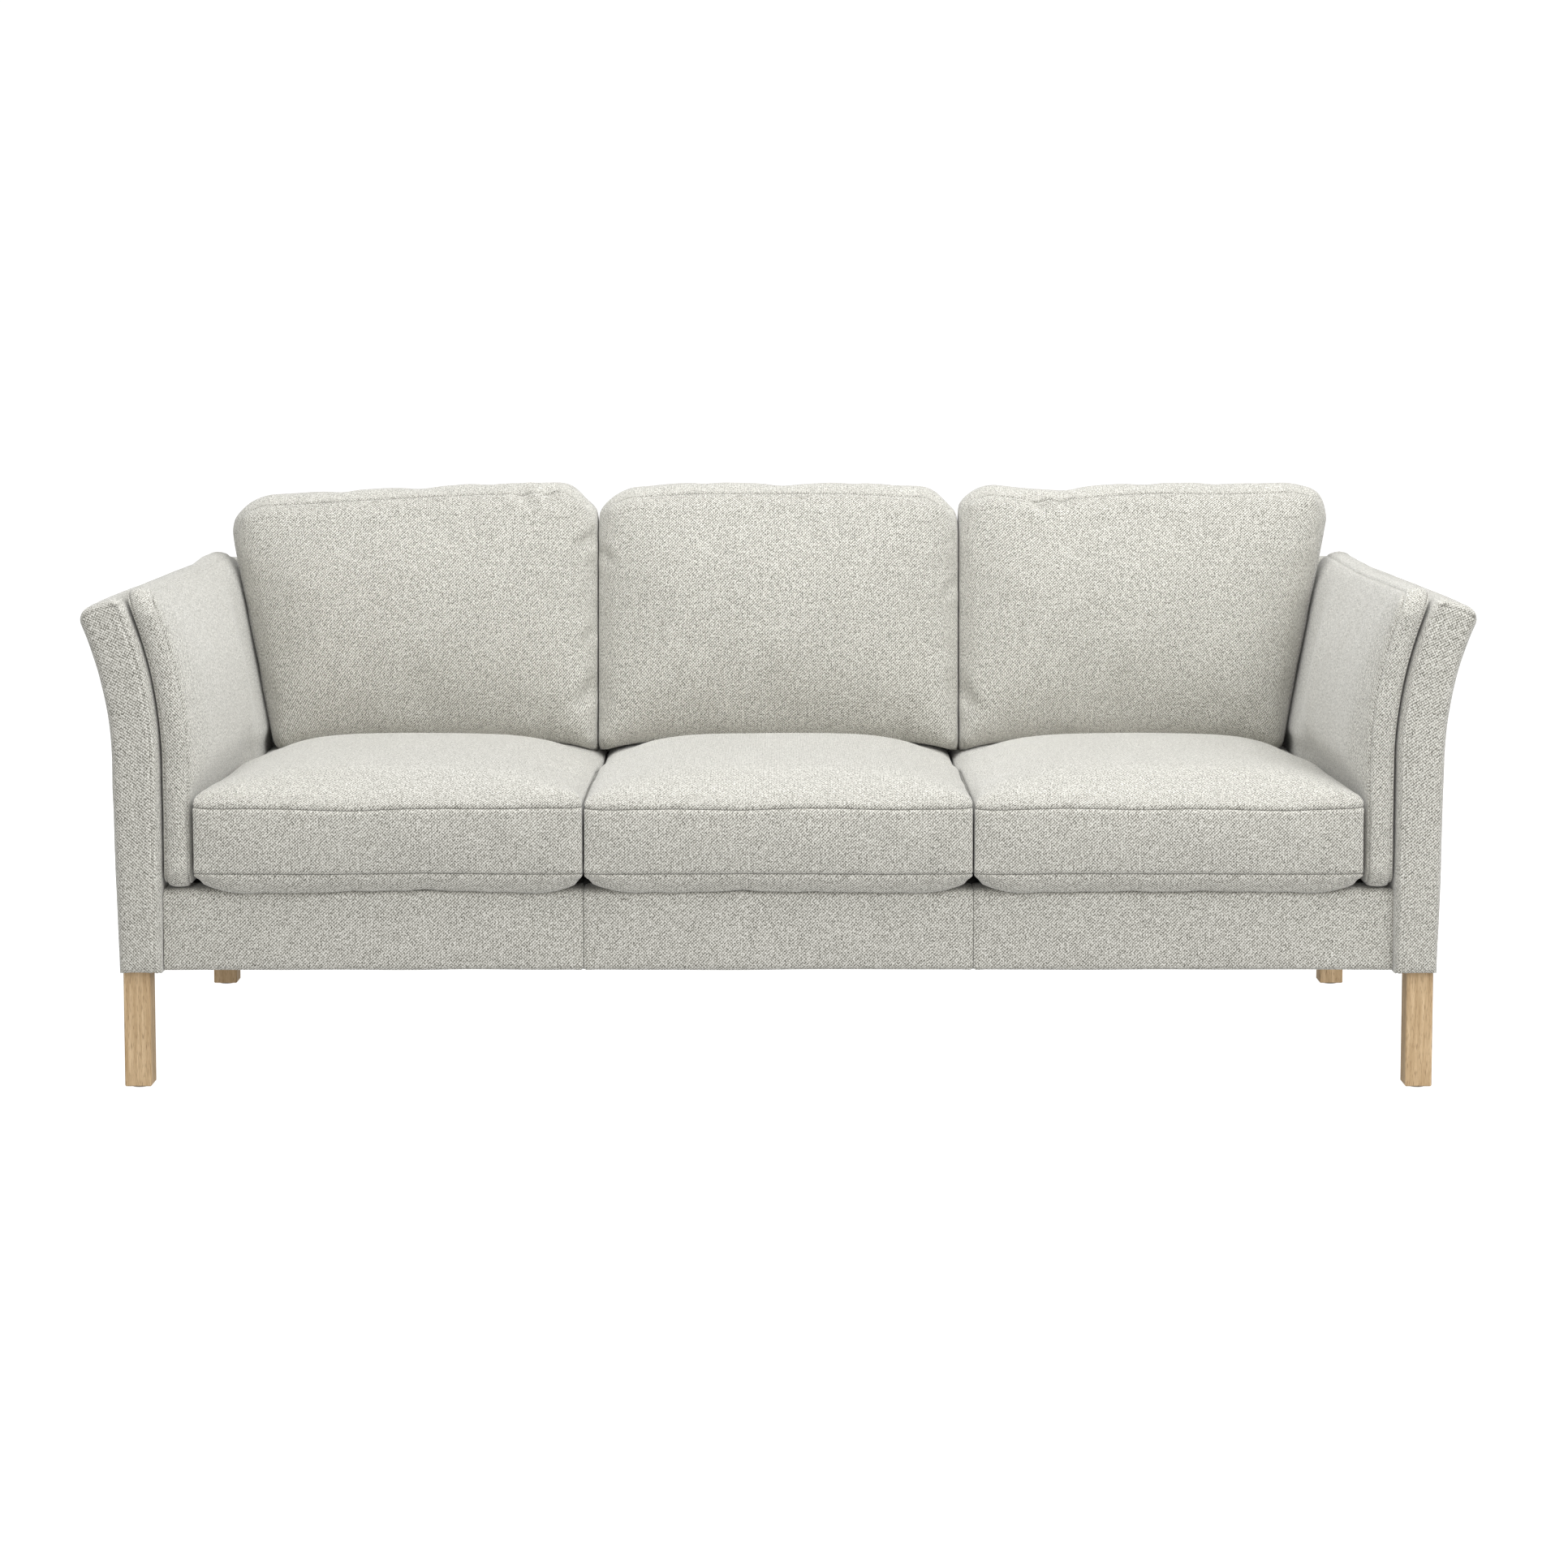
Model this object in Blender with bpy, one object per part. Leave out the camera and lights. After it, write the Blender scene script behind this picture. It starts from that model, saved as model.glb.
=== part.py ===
"""Three-seat sofa with oak legs and loose cushions, in metres, +Z up.

The origin is on the floor under the middle of the sofa. The front faces -Y, and
"left" is the -X side, as someone standing in front of the sofa sees it.
"""

import math

import bmesh
import bpy
from mathutils import Matrix, Vector

# Driving dimensions
DEPTH = 0.850
GAP = 0.0004  # between pieces that touch
LOOSE_GAP = 0.0012  # between loose cushions and what they lie against

LEG_SIDE = 0.040
LEG_X = 0.9634  # from the middle to each leg's axis
LEG_SETBACK = 0.012  # from the arm's end to the leg's face
GLIDE_RADIUS = 0.013
GLIDE_THICKNESS = 0.0020
BOLT_RADIUS = 0.004
BOLT_REACH = 0.045  # into the leg, and the same into the arm's post

BODY_Z = 0.178  # underside of the upholstered body
ARM_BOTTOM_OUTER_X = 0.988
ARM_WAIST_OUTER_X = 0.995
ARM_INNER_X = 0.9245
ARM_OUTER_FLARE_Z = 0.490  # where the outer face starts to flare
ARM_OUTER_FLARE_RADIUS = 0.500
ARM_INNER_FLARE_Z = 0.490
ARM_INNER_FLARE_RADIUS = 0.620
ARM_INNER_TOP_Z = 0.740
ARM_OUTER_TOP_Z = 0.7155
UPHOLSTERY = 0.014  # wadding and fabric over the timber
POST_WIDTH = 0.050

RAIL_BOTTOM_Z = 0.184
RAIL_TOP_Z = 0.284
RAIL_THICKNESS = 0.025
FRONT_RAIL_FACE_Y = -0.405  # the upholstered face between the arms
SEAT_Z = 0.300  # top of the platform that the cushions lie on
SPRING_WIRE_RADIUS = 0.0019
SPRING_HALF_WIDTH = 0.024
SPRING_LOOPS = 20
SPRINGS = 8

BACK_REAR_Y = 0.419
BACK_FRONT_Y = 0.345  # front face at seat level
BACK_LEAN = 0.045  # how far the front face leans back per metre of height
BACK_TOP_Z = 0.745

COVER_WALL = 0.004
SEAT_WIDTH = 0.5826
SEAT_PITCH = 0.5838
SEAT_TOP_Z = 0.450
BACK_CUSHION_TOP_Z = 0.880
BACK_CUSHION_HALF_WIDTH = 0.3035
BACK_CUSHION_FRONT_Y = 0.187
SIDE_INNER_X = 0.876
SIDE_FLARE_Z = 0.470
SIDE_FLARE_RADIUS = 0.900
SIDE_INNER_TOP_Z = 0.750
SIDE_OUTER_TOP_Z = 0.743

FRONT_Y = -DEPTH / 2
REAR_Y = DEPTH / 2
SIDES = (("left", -1), ("right", 1))
ENDS = (("front", -1), ("rear", 1))

# name: (base colour, roughness, metallic)
FINISHES = {
    "upholstery": ((0.70, 0.69, 0.64, 1), 0.95, 0),
    "oak": ((0.62, 0.43, 0.24, 1), 0.55, 0),
    "timber": ((0.66, 0.50, 0.31, 1), 0.70, 0),
    "foam": ((0.86, 0.82, 0.66, 1), 0.90, 0),
    "felt": ((0.16, 0.15, 0.14, 1), 0.95, 0),
    "lining": ((0.05, 0.05, 0.05, 1), 0.90, 0),
    "steel": ((0.60, 0.60, 0.62, 1), 0.35, 1),
}


def clear_scene():
    for obj in list(bpy.data.objects):
        bpy.data.objects.remove(obj)


def finish(obj, name):
    """Gives obj the named material."""
    material = bpy.data.materials.get(name)
    if material is None:
        colour, roughness, metallic = FINISHES[name]
        material = bpy.data.materials.new(name)
        material.use_nodes = True
        shader = material.node_tree.nodes["Principled BSDF"]
        shader.inputs["Base Color"].default_value = colour
        shader.inputs["Roughness"].default_value = roughness
        shader.inputs["Metallic"].default_value = metallic
        material.diffuse_color = colour
    obj.data.materials.append(material)


def add_object(name, mesh, material):
    obj = bpy.data.objects.new(name, mesh)
    bpy.context.scene.collection.objects.link(obj)
    finish(obj, material)
    return obj


def loft(name, rings, material, radius=0, segments=2):
    """A closed solid through rings of points, its sharp edges rounded to radius."""
    bm = bmesh.new()
    made = [[bm.verts.new(point) for point in ring] for ring in rings]
    count = len(made[0])
    for low, high in zip(made, made[1:]):
        for i in range(count):
            j = (i + 1) % count
            bm.faces.new((low[i], low[j], high[j], high[i]))
    bm.faces.new(list(reversed(made[0])))
    bm.faces.new(made[-1])
    bmesh.ops.recalc_face_normals(bm, faces=bm.faces)
    if radius:
        sharp = [e for e in bm.edges if e.calc_face_angle() > math.radians(30)]
        bmesh.ops.bevel(
            bm, geom=sharp, offset=radius, segments=segments, profile=0.5, affect="EDGES", clamp_overlap=True
        )
    mesh = bpy.data.meshes.new(name)
    bm.to_mesh(mesh)
    bm.free()
    mesh.shade_smooth()
    mesh.set_sharp_from_angle(angle=math.radians(35))
    return add_object(name, mesh, material)


def block(name, low, high, material, radius=0, segments=2):
    """A box between two corners."""
    (x0, y0, z0), (x1, y1, z1) = low, high
    rings = [[(x0, y0, z), (x1, y0, z), (x1, y1, z), (x0, y1, z)] for z in (z0, z1)]
    return loft(name, rings, material, radius, segments)


def rod(name, x, y, z0, z1, radius, material, sides=16):
    """An upright round bar."""
    bm = bmesh.new()
    bmesh.ops.create_cone(
        bm, cap_ends=True, segments=sides, radius1=radius, radius2=radius, depth=z1 - z0
    )
    mesh = bpy.data.meshes.new(name)
    bm.to_mesh(mesh)
    bm.free()
    mesh.shade_smooth()
    mesh.set_sharp_from_angle(angle=math.radians(35))
    obj = add_object(name, mesh, material)
    obj.location = (x, y, (z0 + z1) / 2)
    return obj


def cut(obj, cutter):
    """Takes cutter's shape out of obj, and hides the cutter."""
    cutter.hide_render = True
    cutter.display_type = "WIRE"
    boolean = obj.modifiers.new("cut_" + cutter.name, "BOOLEAN")
    boolean.operation = "DIFFERENCE"
    boolean.solver = "EXACT"
    boolean.object = cutter


def flare(z, start, radius):
    """How far a face that curves outwards above start has moved at height z."""
    rise = max(0.0, z - start)
    return radius - math.sqrt(radius * radius - rise * rise)


def arm_outer_x(z):
    taper = min(1.0, (z - BODY_Z) / (ARM_OUTER_FLARE_Z - BODY_Z))
    waist = ARM_BOTTOM_OUTER_X + (ARM_WAIST_OUTER_X - ARM_BOTTOM_OUTER_X) * taper
    return waist + flare(z, ARM_OUTER_FLARE_Z, ARM_OUTER_FLARE_RADIUS)


def arm_inner_x(z):
    return ARM_INNER_X + flare(z, ARM_INNER_FLARE_Z, ARM_INNER_FLARE_RADIUS)


def side_cushion_inner_x(z):
    return SIDE_INNER_X + flare(z, SIDE_FLARE_Z, SIDE_FLARE_RADIUS)


def back_front_y(z):
    return BACK_FRONT_Y + BACK_LEAN * (z - SEAT_Z)


def heights(low, high, bend):
    """Heights from low to high: few below bend, where a face is straight, and more above it."""
    straight = [low] if bend <= low else [low, min(bend, high)]
    curved = [z for z in (bend + (high - bend) * i / 5 for i in range(1, 6)) if z > straight[-1] + 0.004]
    return straight + curved if high > bend else [low, high]


def arm_outline(inner_x, outer_x, low, inner_top, outer_top):
    """(x, z) points of an upright curved section: up its inner face, then down its outer face."""
    inner = [(inner_x(z), z) for z in heights(low, inner_top, ARM_INNER_FLARE_Z)]
    outer = [(outer_x(z), z) for z in heights(low, outer_top, ARM_OUTER_FLARE_Z)]
    return inner + outer[::-1]


def along_depth(outline, side, y0, y1):
    """Two rings of an (x, z) outline, on one side of the sofa, from y0 to y1."""
    return [[(side * x, y, z) for x, z in outline] for y in (y0, y1)]


def arm_section(inset, low, top=None):
    """The arm's outline drawn in by inset, cut off level at top if it is given."""
    inner_top = ARM_INNER_TOP_Z - inset if top is None else top
    outer_top = ARM_OUTER_TOP_Z - inset if top is None else top
    return arm_outline(
        lambda z: arm_inner_x(z) + inset, lambda z: arm_outer_x(z) - inset, low, inner_top, outer_top
    )


def leg(end, end_sign, side_name, side):
    """An oak leg with its felt glide and the bolt that holds it to the arm's post."""
    place = f"{end}_{side_name}"
    x = side * LEG_X
    y = end_sign * (REAR_Y - LEG_SETBACK - LEG_SIDE / 2)
    half = LEG_SIDE / 2
    foot_z, top_z = GLIDE_THICKNESS + GAP, BODY_Z - GAP
    rod("glide_" + place, x, y, 0, GLIDE_THICKNESS, GLIDE_RADIUS, "felt", sides=24)
    low = (x - half, y - half, foot_z)
    high = (x + half, y + half, top_z)
    post = block("leg_" + place, low, high, "oak", radius=0.0015, segments=1)
    bolt_top = BODY_Z + BOLT_REACH
    rod("leg_bolt_" + place, x, y, BODY_Z - BOLT_REACH, bolt_top, BOLT_RADIUS, "steel", sides=12)
    hole = rod(
        "leg_hole_" + place, x, y, BODY_Z - BOLT_REACH - GAP, bolt_top + GAP, BOLT_RADIUS + GAP, "steel", sides=12
    )
    cut(post, hole)
    return hole


def arm(side_name, side):
    """A shaped timber frame under an upholstered sleeve that is open at the bottom."""
    frame_inset = UPHOLSTERY + GAP
    bottom_z = BODY_Z + 0.001
    cover = loft(
        f"arm_{side_name}_cover",
        along_depth(arm_section(0, BODY_Z), side, FRONT_Y, REAR_Y),
        "upholstery",
        radius=0.009,
    )
    cavity = along_depth(
        arm_section(UPHOLSTERY, BODY_Z - 0.02), side, FRONT_Y + UPHOLSTERY, REAR_Y - UPHOLSTERY
    )
    cut(cover, loft(f"arm_{side_name}_cavity", cavity, "upholstery"))
    post_end = DEPTH / 2 - frame_inset
    rail_end = post_end - POST_WIDTH - GAP
    for end, sign in ENDS:
        rings = along_depth(
            arm_section(frame_inset, bottom_z), side, sign * post_end, sign * (post_end - POST_WIDTH)
        )
        post = loft(f"arm_{side_name}_{end}_post", rings, "timber")
        cut(post, leg(end, sign, side_name, side))
    bottom = arm_section(frame_inset, bottom_z, BODY_Z + 0.080)
    loft(f"arm_{side_name}_bottom_rail", along_depth(bottom, side, -rail_end, rail_end), "timber")
    top = arm_section(frame_inset, ARM_OUTER_TOP_Z - 0.075)
    loft(f"arm_{side_name}_top_rail", along_depth(top, side, -rail_end, rail_end), "timber")


def back_rings(inset, levels, half_width=None, centre=0):
    """Level rings of the back, drawn in by inset, as wide as the space between the arms or as half_width."""
    rings = []
    for z in levels:
        half = arm_inner_x(z) - LOOSE_GAP - inset if half_width is None else half_width
        front, rear = back_front_y(z) + inset, BACK_REAR_Y - inset
        x0, x1 = centre - half, centre + half
        rings.append([(x0, front, z), (x1, front, z), (x1, rear, z), (x0, rear, z)])
    return rings


def back():
    """A timber frame and lining board under an upholstered sleeve that is open at the bottom."""
    frame_inset = UPHOLSTERY + GAP
    bottom_z = BODY_Z + 0.001
    top_z = BACK_TOP_Z - frame_inset
    board_thickness = 0.003
    levels = heights(BODY_Z, BACK_TOP_Z, ARM_INNER_FLARE_Z)
    cover = loft("back_cover", back_rings(0, levels), "upholstery", radius=0.012)
    inner_levels = heights(BODY_Z - 0.02, BACK_TOP_Z - UPHOLSTERY, ARM_INNER_FLARE_Z)
    cut(cover, loft("back_cavity", back_rings(UPHOLSTERY, inner_levels), "upholstery"))

    def member(name, levels, half_width=None, centre=0):
        rings = back_rings(frame_inset, levels, half_width, centre)
        for ring in rings:  # the lining board lies in front of every member
            ring[0] = (ring[0][0], ring[0][1] + board_thickness + GAP, ring[0][2])
            ring[1] = (ring[1][0], ring[1][1] + board_thickness + GAP, ring[1][2])
        return loft(name, rings, "timber")

    bottom_rail_top, top_rail_bottom = BODY_Z + 0.090, top_z - 0.060
    member("back_bottom_rail", [bottom_z, bottom_rail_top])
    member("back_top_rail", [top_rail_bottom, (top_rail_bottom + top_z) / 2, top_z])
    for side_name, side in SIDES:
        levels = [bottom_rail_top + GAP, top_rail_bottom - GAP]
        member(f"back_upright_{side_name}", levels, POST_WIDTH / 2, side * BACK_CUSHION_HALF_WIDTH)
    board = back_rings(frame_inset, heights(bottom_z, top_z, ARM_INNER_FLARE_Z))
    for ring in board:
        ring[2] = (ring[2][0], ring[1][1] + board_thickness, ring[2][2])
        ring[3] = (ring[3][0], ring[0][1] + board_thickness, ring[3][2])
    loft("back_lining_board", board, "timber")


def front_rail_cover(half_width):
    """Fabric over wadding round the front rail: its face, a lap over the top and a hem under it."""
    face, thickness, hem = FRONT_RAIL_FACE_Y, 0.010, 0.003
    lap_end, hem_end = -0.340, -0.376
    radius = 0.014
    corner = Vector((face + radius, SEAT_Z - radius))
    turn = [math.radians(a) for a in (180, 157.5, 135, 112.5, 90)]
    outside = [(corner.x + radius * math.cos(a), corner.y + radius * math.sin(a)) for a in turn]
    lap_z = RAIL_TOP_Z + 0.0048
    outline = [(hem_end, BODY_Z), (face + 0.004, BODY_Z), (face, BODY_Z + 0.004)]
    outline += outside + [(lap_end, SEAT_Z), (lap_end, lap_z), (face + thickness, lap_z)]
    outline += [(face + thickness, BODY_Z + hem), (hem_end, BODY_Z + hem)]
    rings = [[(x, y, z) for y, z in outline] for x in (-half_width, half_width)]
    loft("front_rail_cover", rings, "upholstery")
    return lap_end, hem_end


def zigzag_spring(name, x):
    """A sinuous steel spring from the front rail to the rear rail, lying on both."""
    start, end = FRONT_RAIL_FACE_Y + 0.022, BACK_FRONT_Y - 0.012
    steps = SPRING_LOOPS * 4
    curve = bpy.data.curves.new(name, "CURVE")
    curve.dimensions = "3D"
    curve.bevel_depth = SPRING_WIRE_RADIUS
    curve.bevel_resolution = 0
    curve.use_fill_caps = True
    spline = curve.splines.new("POLY")
    spline.points.add(steps)
    z = RAIL_TOP_Z + SPRING_WIRE_RADIUS + GAP
    for i, point in enumerate(spline.points):
        phase = math.pi * SPRING_LOOPS * i / steps
        squared = math.sin(phase) * (1 + 0.3 * math.cos(phase) ** 2)  # flatter ends on each loop
        y = start + (end - start) * i / steps
        point.co = (x + SPRING_HALF_WIDTH * squared, y, z, 1)
    obj = bpy.data.objects.new(name, curve)
    bpy.context.scene.collection.objects.link(obj)
    finish(obj, "steel")


def seat_frame():
    """Rails, springs, platform and dust cover between the arms."""
    half = ARM_INNER_X - LOOSE_GAP
    lap_end, hem_end = front_rail_cover(half)
    front_y = FRONT_RAIL_FACE_Y + 0.010 + GAP
    rear_y = BACK_FRONT_Y - 0.006  # behind the rear rail
    inside = front_y + RAIL_THICKNESS + GAP
    back_inside = rear_y - RAIL_THICKNESS - GAP
    low, high = RAIL_BOTTOM_Z, RAIL_TOP_Z
    block("front_rail", (-half, front_y, low), (half, inside - GAP, high), "timber")
    block("rear_rail", (-half, back_inside + GAP, low), (half, rear_y, high), "timber")
    for side_name, side in SIDES:
        x0, x1 = sorted((side * half, side * (half - RAIL_THICKNESS)))
        block(f"side_rail_{side_name}", (x0, inside, low), (x1, back_inside, high), "timber")
    middle = RAIL_THICKNESS / 2
    sag = 0.014  # the middle rail stays clear of springs under load
    block("centre_rail", (-middle, inside, low), (middle, back_inside, high - sag), "timber")
    pitch = 2 * (half - RAIL_THICKNESS) / SPRINGS
    for i in range(SPRINGS):
        zigzag_spring(f"seat_spring_{i + 1}", pitch * (i + 0.5 - SPRINGS / 2))
    platform_z = RAIL_TOP_Z + 2 * SPRING_WIRE_RADIUS + 2 * GAP
    block("seat_platform", (-half, lap_end + GAP, platform_z), (half, rear_y, SEAT_Z), "lining")
    block("dust_cover", (-half, hem_end + GAP, BODY_Z + 0.0005), (half, rear_y, BODY_Z + 0.0020), "lining")


def padded_cushion(name, shape, opening, radius):
    """A zipped cover with the foam core inside it. shape(inset) gives the rings of the solid drawn in by inset,
    and opening is the box of the zip's mouth."""
    cover = loft(name + "_cover", shape(0), "upholstery", radius, segments=3)
    hollow = loft(name + "_cavity", shape(COVER_WALL), "upholstery", radius - COVER_WALL, segments=3)
    cut(cover, hollow)
    cut(cover, block(name + "_zip_mouth", *opening, "upholstery"))
    loft(name + "_core", shape(COVER_WALL + GAP), "foam", radius - COVER_WALL, segments=3)


def seat_cushions():
    bottom_z, rear_y = SEAT_Z + LOOSE_GAP, BACK_FRONT_Y - LOOSE_GAP
    for index, name in enumerate(("left", "centre", "right")):
        x = (index - 1) * SEAT_PITCH
        half = SEAT_WIDTH / 2

        def shape(inset, x=x, half=half):
            x0, x1 = x - half + inset, x + half - inset
            y0, y1 = FRONT_Y + inset, rear_y - inset
            levels = (bottom_z + inset, SEAT_TOP_Z - inset)
            return [[(x0, y0, z), (x1, y0, z), (x1, y1, z), (x0, y1, z)] for z in levels]

        middle = (bottom_z + SEAT_TOP_Z) / 2
        mouth = ((x - 0.20, rear_y - 0.010, middle - 0.006), (x + 0.20, rear_y + 0.010, middle + 0.006))
        padded_cushion("seat_cushion_" + name, shape, mouth, radius=0.024)


def outer_back_edge_x(z):
    """How far out the end back cushions reach: they narrow downwards between the side cushions."""
    return 0.856 + 0.155 * (min(z, 0.820) - SEAT_TOP_Z)


def back_cushions():
    bottom_z = SEAT_TOP_Z + LOOSE_GAP
    lean = 0.10  # of the front face, per metre of height
    inner_edge = BACK_CUSHION_HALF_WIDTH + LOOSE_GAP
    edges = {
        "left": (lambda z: -outer_back_edge_x(z), lambda z: -inner_edge),
        "centre": (lambda z: -BACK_CUSHION_HALF_WIDTH, lambda z: BACK_CUSHION_HALF_WIDTH),
        "right": (lambda z: inner_edge, outer_back_edge_x),
    }
    for name, (low_edge, high_edge) in edges.items():

        def shape(inset, low_edge=low_edge, high_edge=high_edge):
            rings = []
            for z in (bottom_z + inset, 0.62, 0.78, BACK_CUSHION_TOP_Z - inset):
                x0, x1 = low_edge(z) + inset, high_edge(z) - inset
                y0 = BACK_CUSHION_FRONT_Y + lean * (z - SEAT_TOP_Z) + inset
                y1 = back_front_y(z) - 2 * LOOSE_GAP - inset
                rings.append([(x0, y0, z), (x1, y0, z), (x1, y1, z), (x0, y1, z)])
            return rings

        x = (low_edge(bottom_z) + high_edge(bottom_z)) / 2
        y = (BACK_CUSHION_FRONT_Y + BACK_FRONT_Y) / 2
        mouth = ((x - 0.18, y - 0.006, bottom_z - 0.010), (x + 0.18, y + 0.006, bottom_z + 0.010))
        padded_cushion("back_cushion_" + name, shape, mouth, radius=0.040)


def side_cushions():
    bottom_z, front_y, rear_y = SEAT_Z + LOOSE_GAP, FRONT_Y + 0.004, BACK_FRONT_Y - LOOSE_GAP
    for side_name, side in SIDES:

        def shape(inset, side=side):
            outline = arm_outline(
                lambda z: side_cushion_inner_x(z) + inset,
                lambda z: arm_inner_x(z) - LOOSE_GAP - inset,
                bottom_z + inset,
                SIDE_INNER_TOP_Z - inset,
                SIDE_OUTER_TOP_Z - inset,
            )
            return along_depth(outline, side, front_y + inset, rear_y - inset)

        x = side * (SIDE_INNER_X + ARM_INNER_X) / 2
        mouth = ((x - 0.005, -0.20, bottom_z - 0.010), (x + 0.005, 0.20, bottom_z + 0.010))
        padded_cushion("side_cushion_" + side_name, shape, mouth, radius=0.013)


def build():
    clear_scene()
    for side_name, side in SIDES:
        arm(side_name, side)
    seat_frame()
    back()
    seat_cushions()
    back_cushions()
    side_cushions()


build()
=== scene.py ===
"""The looks of the sofa with oak legs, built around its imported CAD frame. Metres, +Z up, front towards -Y."""

import math

import bpy
import numpy as np
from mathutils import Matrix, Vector, noise


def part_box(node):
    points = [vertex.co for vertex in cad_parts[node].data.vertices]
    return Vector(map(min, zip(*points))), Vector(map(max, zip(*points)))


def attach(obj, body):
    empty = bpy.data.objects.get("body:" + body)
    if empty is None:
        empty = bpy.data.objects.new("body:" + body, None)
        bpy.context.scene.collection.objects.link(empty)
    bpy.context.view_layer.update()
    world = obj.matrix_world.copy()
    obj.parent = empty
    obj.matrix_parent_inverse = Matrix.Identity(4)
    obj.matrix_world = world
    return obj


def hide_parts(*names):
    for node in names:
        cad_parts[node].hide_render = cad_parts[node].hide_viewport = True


UV_NAME = "weave"  # metres across each panel of cloth
SEAM_NAME = "seam"  # 1 on a seam, falling to 0 at SEAM_REACH from it; the cloth's material paints shade where it is high
SEAM_REACH = 0.006

CAMERA_PLACE = (0.0, -5.303, 1.142)
CAMERA_TILT = 4.66  # degrees below the horizon
CAMERA_LENS = 75.75
CAMERA_SHIFT = (0.0036, -0.12)

COVER_GAP = 0.0012  # between two covers that meet
COVER_TO_FOAM = 0.009
WADDING = 0.006  # thickness of the fitted upholstery
ARM_INNER_X = 0.9245
ARM_OUTER_X = 0.988  # at the hem
ARM_INNER_CURVE = (0.490, 0.620)  # the height where the face starts to curve outwards, and the radius
ARM_OUTER_CURVE = (0.496, 0.520)
ARM_CROWN = 0.007  # how far the wadding stands over the arm's top
ARM_HEM = 0.004  # how far the cloth reaches below the arm
BACK_FACE = (0.345, 0.300)  # y and z of a point on the front of the upholstered back
BACK_LEAN = 0.045  # how much further back it is per metre of height
OUTER_BACK_EDGE_X = 0.857  # of the end back cushions, at the seat
OUTER_BACK_SLOPE = 0.199  # how much further out they reach per metre of height, up to OUTER_BACK_TOP
OUTER_BACK_TOP = 0.820
BACK_SEAM_X = 0.293  # of the two upright seams of the front rail and of the back
BACK_SAG = {"left": 0.022, "centre": 0.010, "right": 0.012}  # how far each back cushion's crest dips
# How much further its top corners reach, at the left end and at the right end
CORNER_REACH = {"left": (0.0, -0.006), "centre": (0.0, -0.004), "right": (0.0, 0.006)}
# The creases in its front: (start, end, width, depth), each start and end across and up from its middle
BACK_CREASES = {
    "left": (
        ((0.165, 0.212), (0.205, 0.172), 0.010, 0.0075),
        ((0.205, 0.212), (0.238, 0.180), 0.009, 0.0065),
        ((0.303, 0.135), (0.268, 0.105), 0.010, 0.0065),
        ((0.303, -0.105), (0.262, -0.150), 0.011, 0.0065),
        ((0.303, -0.020), (0.280, -0.050), 0.009, 0.0055),
    ),
    "centre": (
        ((-0.303, 0.120), (-0.276, 0.085), 0.010, 0.0055),
        ((0.303, 0.060), (0.278, 0.030), 0.010, 0.0045),
    ),
    "right": (
        ((-0.190, 0.212), (-0.150, 0.176), 0.010, 0.0080),
        ((-0.145, 0.212), (-0.118, 0.182), 0.009, 0.0065),
        ((-0.303, -0.110), (-0.270, -0.155), 0.011, 0.0060),
    ),
}

SKY_STRENGTH = 0.48
TOP_WATTS = 104
KEY_WATTS = 82
FRONT_WATTS = 38

# The upholstery's colour from its deepest gaps to its fullest yarns
YARN_TONES = (
    (0.00, (0.085, 0.082, 0.068)),
    (0.25, (0.25, 0.243, 0.210)),
    (0.50, (0.52, 0.507, 0.462)),
    (0.72, (0.70, 0.688, 0.640)),
    (1.00, (0.80, 0.79, 0.745)),
)
FLECKS = (0.20, 1.28)  # how far single yarns, and clouds of them, depart from the mean tone

# The sides of a box lattice: name, the axis they face, the end of it, and the axes that run across them
LATTICE_SIDES = (
    ("left", 0, 0, (2, 1)),
    ("right", 0, 1, (1, 2)),
    ("front", 1, 0, (0, 2)),
    ("rear", 1, 1, (2, 0)),
    ("bottom", 2, 0, (1, 0)),
    ("top", 2, 1, (0, 1)),
)


# ---------------------------------------------------------------- box lattices


class Lattice:
    """The skin of a box as a closed mesh of quads. Its points lie at given shares (0 to 1) of each axis."""

    def __init__(self, xs, ys, zs):
        self.shares = [np.asarray(s, float) for s in (xs, ys, zs)]
        last = [len(s) - 1 for s in self.shares]
        ids = np.full([n + 1 for n in last], -1)
        on_skin = np.zeros(ids.shape, bool)
        for axis in range(3):
            on_skin[tuple(slice(None) if a != axis else [0, last[axis]] for a in range(3))] = True
        ids[on_skin] = np.arange(on_skin.sum())
        where = np.argwhere(on_skin)
        self.points = np.stack([self.shares[a][where[:, a]] for a in range(3)], axis=1)
        self.side_ids, self.side_axes, quads, sides = {}, {}, [], []
        for number, (name, axis, end, across) in enumerate(LATTICE_SIDES):
            face = np.take(ids, -1 if end else 0, axis=axis)
            free = [a for a in range(3) if a != axis]
            if list(across) != free:
                face = face.T
            self.side_ids[name], self.side_axes[name] = face, across
            corners = (face[:-1, :-1], face[1:, :-1], face[1:, 1:], face[:-1, 1:])
            made = np.stack([c.ravel() for c in corners], axis=1)
            quads.append(made)
            sides.append(np.full(len(made), number))
        self.quads, self.sides = np.concatenate(quads), np.concatenate(sides)

    def resampled(self, places, finer):
        """Places given at this lattice's points, carried smoothly to the finer lattice's points."""
        found = np.zeros((len(finer.points), 3))
        for name, ids in self.side_ids.items():
            a, b = self.side_axes[name]
            weigh_a = cubic_weights(self.shares[a], finer.shares[a])
            weigh_b = cubic_weights(self.shares[b], finer.shares[b])
            found[finer.side_ids[name]] = np.einsum("ia,jb,abk->ijk", weigh_a, weigh_b, places[ids])
        return found


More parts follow.
